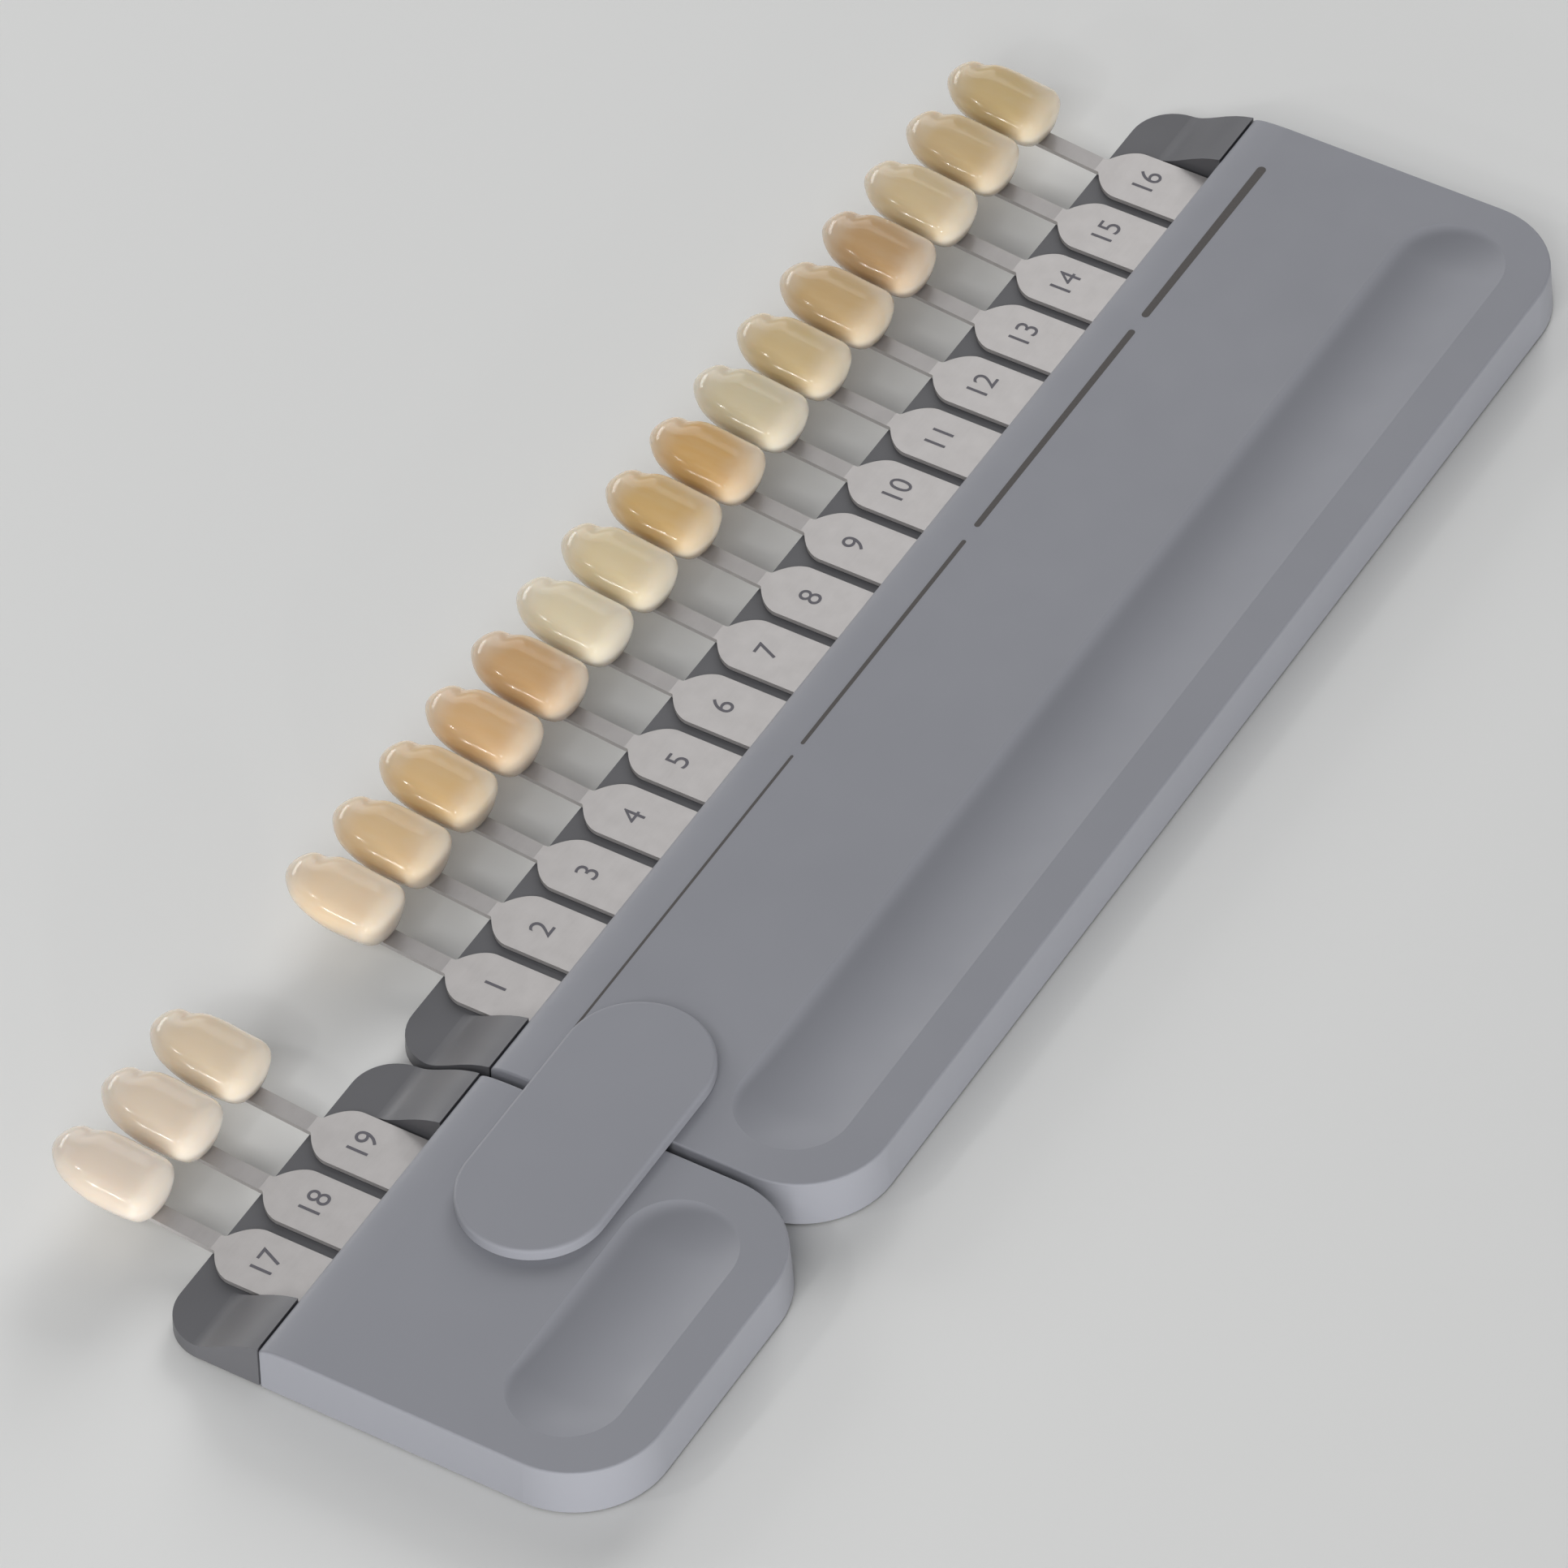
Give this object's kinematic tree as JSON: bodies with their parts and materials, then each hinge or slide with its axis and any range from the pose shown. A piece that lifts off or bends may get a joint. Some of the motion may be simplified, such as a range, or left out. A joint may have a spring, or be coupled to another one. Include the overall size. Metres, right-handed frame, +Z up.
{
  "type": "dental shade guide",
  "caption": "Shade guide for teeth: flat holder with a row of pull-out tabs, each a steel plate with a stem and a tooth, and a short extension holder clipped on.",
  "frame": {"origin": "on the table, in the middle of the long holder's length, below the seam between its cover and its base", "axes": "+X along the row of tabs, from the extension to the last tab; +Y towards the teeth; +Z up"},
  "size_m": [0.2358, 0.0854, 0.0108],
  "materials": {
    "cover_plastic": "fine satin, moulded",
    "base_plastic": "satin, moulded",
    "carrier_steel": "satin",
    "shade_01": "glossy, translucent tooth resin",
    "shade_02": "glossy, translucent tooth resin",
    "shade_03": "glossy, translucent tooth resin",
    "shade_04": "glossy, translucent tooth resin",
    "shade_05": "glossy, translucent tooth resin",
    "shade_06": "glossy, translucent tooth resin",
    "shade_07": "glossy, translucent tooth resin",
    "shade_08": "glossy, translucent tooth resin",
    "shade_09": "glossy, translucent tooth resin",
    "shade_10": "glossy, translucent tooth resin",
    "shade_11": "glossy, translucent tooth resin",
    "shade_12": "glossy, translucent tooth resin",
    "shade_13": "glossy, translucent tooth resin",
    "shade_14": "glossy, translucent tooth resin",
    "shade_15": "glossy, translucent tooth resin",
    "shade_16": "glossy, translucent tooth resin",
    "shade_17": "glossy, translucent tooth resin",
    "shade_18": "glossy, translucent tooth resin",
    "shade_19": "glossy, translucent tooth resin"
  },
  "bodies": {
    "holder": {"main_cover": "cover_plastic", "main_base": "base_plastic"},
    "extension": {"ext_cover": "cover_plastic", "ext_base": "base_plastic", "connector_clip": "cover_plastic"},
    "tab_01": {"carrier_01": "carrier_steel", "tooth_01": "shade_01"},
    "tab_02": {"carrier_02": "carrier_steel", "tooth_02": "shade_02"},
    "tab_03": {"carrier_03": "carrier_steel", "tooth_03": "shade_03"},
    "tab_04": {"carrier_04": "carrier_steel", "tooth_04": "shade_04"},
    "tab_05": {"carrier_05": "carrier_steel", "tooth_05": "shade_05"},
    "tab_06": {"carrier_06": "carrier_steel", "tooth_06": "shade_06"},
    "tab_07": {"carrier_07": "carrier_steel", "tooth_07": "shade_07"},
    "tab_08": {"carrier_08": "carrier_steel", "tooth_08": "shade_08"},
    "tab_09": {"carrier_09": "carrier_steel", "tooth_09": "shade_09"},
    "tab_10": {"carrier_10": "carrier_steel", "tooth_10": "shade_10"},
    "tab_11": {"carrier_11": "carrier_steel", "tooth_11": "shade_11"},
    "tab_12": {"carrier_12": "carrier_steel", "tooth_12": "shade_12"},
    "tab_13": {"carrier_13": "carrier_steel", "tooth_13": "shade_13"},
    "tab_14": {"carrier_14": "carrier_steel", "tooth_14": "shade_14"},
    "tab_15": {"carrier_15": "carrier_steel", "tooth_15": "shade_15"},
    "tab_16": {"carrier_16": "carrier_steel", "tooth_16": "shade_16"},
    "tab_17": {"carrier_17": "carrier_steel", "tooth_17": "shade_17"},
    "tab_18": {"carrier_18": "carrier_steel", "tooth_18": "shade_18"},
    "tab_19": {"carrier_19": "carrier_steel", "tooth_19": "shade_19"}
  },
  "joints": [
    {"name": "extension_slide", "type": "slide", "parent": "holder", "child": "extension", "axis": [-1, 0, 0], "range_m": [0, 0.03]},
    {"name": "tab_01_slide", "type": "slide", "parent": "holder", "child": "tab_01", "axis": [0, 1, 0], "range_m": [0, 0.018]},
    {"name": "tab_02_slide", "type": "slide", "parent": "holder", "child": "tab_02", "axis": [0, 1, 0], "range_m": [0, 0.018]},
    {"name": "tab_03_slide", "type": "slide", "parent": "holder", "child": "tab_03", "axis": [0, 1, 0], "range_m": [0, 0.018]},
    {"name": "tab_04_slide", "type": "slide", "parent": "holder", "child": "tab_04", "axis": [0, 1, 0], "range_m": [0, 0.018]},
    {"name": "tab_05_slide", "type": "slide", "parent": "holder", "child": "tab_05", "axis": [0, 1, 0], "range_m": [0, 0.018]},
    {"name": "tab_06_slide", "type": "slide", "parent": "holder", "child": "tab_06", "axis": [0, 1, 0], "range_m": [0, 0.018]},
    {"name": "tab_07_slide", "type": "slide", "parent": "holder", "child": "tab_07", "axis": [0, 1, 0], "range_m": [0, 0.018]},
    {"name": "tab_08_slide", "type": "slide", "parent": "holder", "child": "tab_08", "axis": [0, 1, 0], "range_m": [0, 0.018]},
    {"name": "tab_09_slide", "type": "slide", "parent": "holder", "child": "tab_09", "axis": [0, 1, 0], "range_m": [0, 0.018]},
    {"name": "tab_10_slide", "type": "slide", "parent": "holder", "child": "tab_10", "axis": [0, 1, 0], "range_m": [0, 0.018]},
    {"name": "tab_11_slide", "type": "slide", "parent": "holder", "child": "tab_11", "axis": [0, 1, 0], "range_m": [0, 0.018]},
    {"name": "tab_12_slide", "type": "slide", "parent": "holder", "child": "tab_12", "axis": [0, 1, 0], "range_m": [0, 0.018]},
    {"name": "tab_13_slide", "type": "slide", "parent": "holder", "child": "tab_13", "axis": [0, 1, 0], "range_m": [0, 0.018]},
    {"name": "tab_14_slide", "type": "slide", "parent": "holder", "child": "tab_14", "axis": [0, 1, 0], "range_m": [0, 0.018]},
    {"name": "tab_15_slide", "type": "slide", "parent": "holder", "child": "tab_15", "axis": [0, 1, 0], "range_m": [0, 0.018]},
    {"name": "tab_16_slide", "type": "slide", "parent": "holder", "child": "tab_16", "axis": [0, 1, 0], "range_m": [0, 0.018]},
    {"name": "tab_17_slide", "type": "slide", "parent": "extension", "child": "tab_17", "axis": [0, 1, 0], "range_m": [0, 0.018]},
    {"name": "tab_18_slide", "type": "slide", "parent": "extension", "child": "tab_18", "axis": [0, 1, 0], "range_m": [0, 0.018]},
    {"name": "tab_19_slide", "type": "slide", "parent": "extension", "child": "tab_19", "axis": [0, 1, 0], "range_m": [0, 0.018]}
  ]
}
